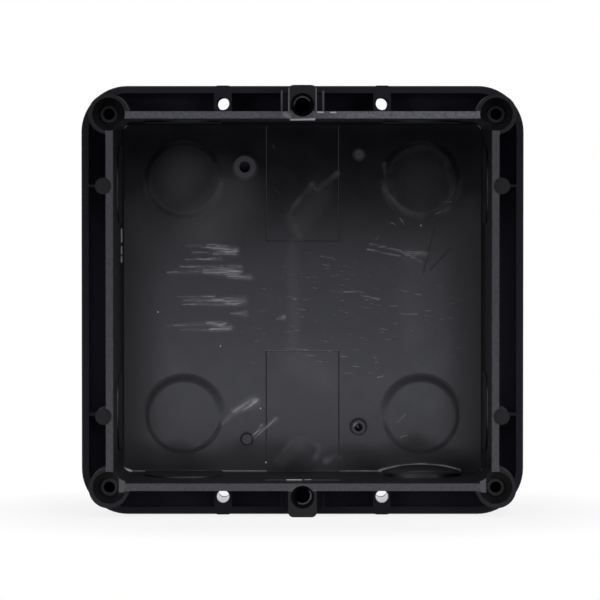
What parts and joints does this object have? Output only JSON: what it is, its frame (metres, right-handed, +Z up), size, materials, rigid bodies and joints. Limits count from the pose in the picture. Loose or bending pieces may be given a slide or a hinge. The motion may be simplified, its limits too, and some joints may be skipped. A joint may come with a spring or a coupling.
{
  "type": "flush back box",
  "caption": "Square flush back box in black moulded plastic with an open front, conduit knock-outs, a flange channel round the rim and screw bosses for wiring accessories.",
  "frame": {"origin": "on the surface that the box stands on, under the centre of its bounding box", "axes": "+Z up, -Y out of the open front, +X to the right as the open front is seen"},
  "size_m": [0.1368, 0.047, 0.1328],
  "materials": {
    "black_plastic": "moulded black plastic, matt on the floor and the rim, smoother in the flange channel and bores, lightly scuffed"
  },
  "bodies": {
    "root": {"back_box": "black_plastic"}
  },
  "joints": []
}
